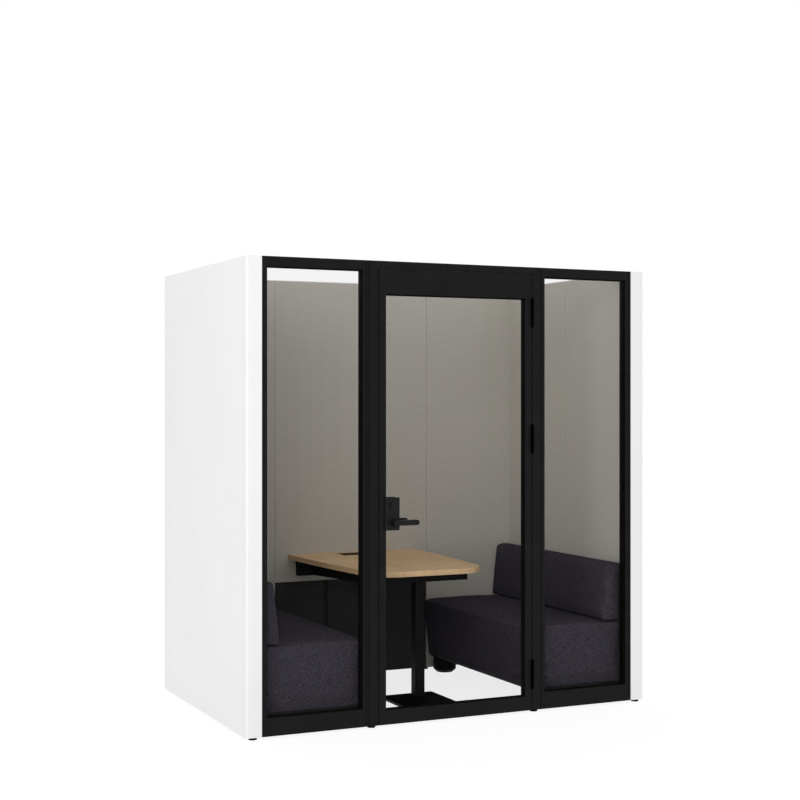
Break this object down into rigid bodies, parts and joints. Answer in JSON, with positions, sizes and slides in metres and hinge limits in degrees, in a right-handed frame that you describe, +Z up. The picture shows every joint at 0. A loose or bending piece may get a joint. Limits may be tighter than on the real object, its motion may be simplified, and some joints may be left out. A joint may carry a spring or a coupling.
{
  "type": "office pod",
  "caption": "Open-topped office pod with white walls, glazed front, hinged glass door with lever lock, upholstered benches and a fixed pedestal table.",
  "frame": {"origin": "centre of the footprint on the floor, lever reach included", "axes": "+X to the right seen from the front, -Y out of the glazed front, +Z up"},
  "size_m": [2.24, 1.4464, 2.3],
  "materials": {
    "white_laminate": "satin white laminate on board",
    "acoustic_core": "black pressed felt",
    "wall_fabric": "warm grey dotted weave",
    "black_panel": "matt black laminate on board",
    "black_frame": "matt black powder coat",
    "clear_glass": "clear laminated",
    "glazing_rubber": "matt",
    "black_hardware": "satin black",
    "plain_steel": "satin",
    "upholstery": "charcoal woven wool",
    "black_plastic": "matt",
    "oak": "grey-brown oak, satin",
    "black_steel": "matt powder coat"
  },
  "bodies": {
    "pod": {"front_posts": "white_laminate", "rear_posts": "white_laminate", "wall_top_caps": "white_laminate", "left_outer_panel_front": "white_laminate", "left_outer_panel_rear": "white_laminate", "right_outer_panel_front": "white_laminate", "right_outer_panel_rear": "white_laminate", "back_outer_panel_left": "white_laminate", "back_outer_panel_centre": "white_laminate", "back_outer_panel_right": "white_laminate", "left_wall_core": "acoustic_core", "right_wall_core": "acoustic_core", "back_wall_core": "acoustic_core", "left_fabric_panel_front": "wall_fabric", "left_fabric_panel_rear": "wall_fabric", "right_fabric_panel_front": "wall_fabric", "right_fabric_panel_rear": "wall_fabric", "back_fabric_panel_left": "wall_fabric", "back_fabric_panel_centre": "wall_fabric", "back_fabric_panel_right": "wall_fabric", "back_skirt_panels": "black_panel", "bench_base_boards": "black_panel", "sidelight_stiles": "black_frame", "sidelight_rails": "black_frame", "left_door_post": "black_frame", "right_door_post": "black_frame", "door_header": "black_frame", "left_sidelight_glass": "clear_glass", "right_sidelight_glass": "clear_glass", "sidelight_gaskets": "glazing_rubber", "hinge_frame_leaves": "black_hardware", "hinge_pins": "black_hardware", "strike_plate": "plain_steel", "left_bench_seat": "upholstery", "right_bench_seat": "upholstery", "left_bench_back": "upholstery", "right_bench_back": "upholstery", "bench_feet": "black_plastic", "levelling_feet": "black_plastic", "cable_port_frame": "black_plastic", "table_top": "oak", "table_underframe": "black_steel", "table_column": "black_steel", "table_base_plate": "black_steel"},
    "door": {"door_lock_stile": "black_frame", "door_hinge_stile": "black_frame", "door_top_rail": "black_frame", "door_bottom_rail": "black_frame", "door_glass": "clear_glass", "door_gasket": "glazing_rubber", "hinge_door_leaves": "black_hardware", "lock_case": "black_hardware", "outer_lock_plate": "black_hardware", "inner_lock_plate": "black_hardware"},
    "lever": {"outer_lever": "black_hardware", "inner_lever": "black_hardware"},
    "latch": {"latch_bolt": "plain_steel"},
    "turn": {"thumb_turn": "black_hardware"},
    "deadbolt": {"dead_bolt": "plain_steel"},
    "port_flap": {"cable_port_flap": "black_plastic"}
  },
  "joints": [
    {"name": "door_hinge", "type": "hinge", "parent": "pod", "child": "door", "pos_m": [0.434, -0.67385, 1.139], "axis": [0, 0, 1], "range_deg": [0, 165]},
    {"name": "lever_turn", "type": "hinge", "parent": "door", "child": "lever", "pos_m": [-0.357, -0.64435, 1.009], "axis": [0, 1, 0], "range_deg": [0, 40], "stiffness_Nm_per_rad": 2.5, "springref_deg": -34.38},
    {"name": "latch_slide", "type": "slide", "parent": "door", "child": "latch", "axis": [1, 0, 0], "range_m": [0, 0.0101]},
    {"name": "thumb_turn_hinge", "type": "hinge", "parent": "door", "child": "turn", "pos_m": [-0.357, -0.64435, 1.089], "axis": [0, 1, 0], "range_deg": [0, 90]},
    {"name": "dead_bolt_slide", "type": "slide", "parent": "door", "child": "deadbolt", "axis": [-1, 0, 0], "range_m": [0, 0.0181]},
    {"name": "port_flap_hinge", "type": "hinge", "parent": "pod", "child": "port_flap", "pos_m": [0, 0.59215, 0.724], "axis": [-1, 0, 0], "range_deg": [0, 100]}
  ],
  "couplings": [
    {"joint": "latch_slide", "follows": "lever_turn", "m_per_rad": 0.014324},
    {"joint": "dead_bolt_slide", "follows": "thumb_turn_hinge", "m_per_rad": 0.011459}
  ]
}
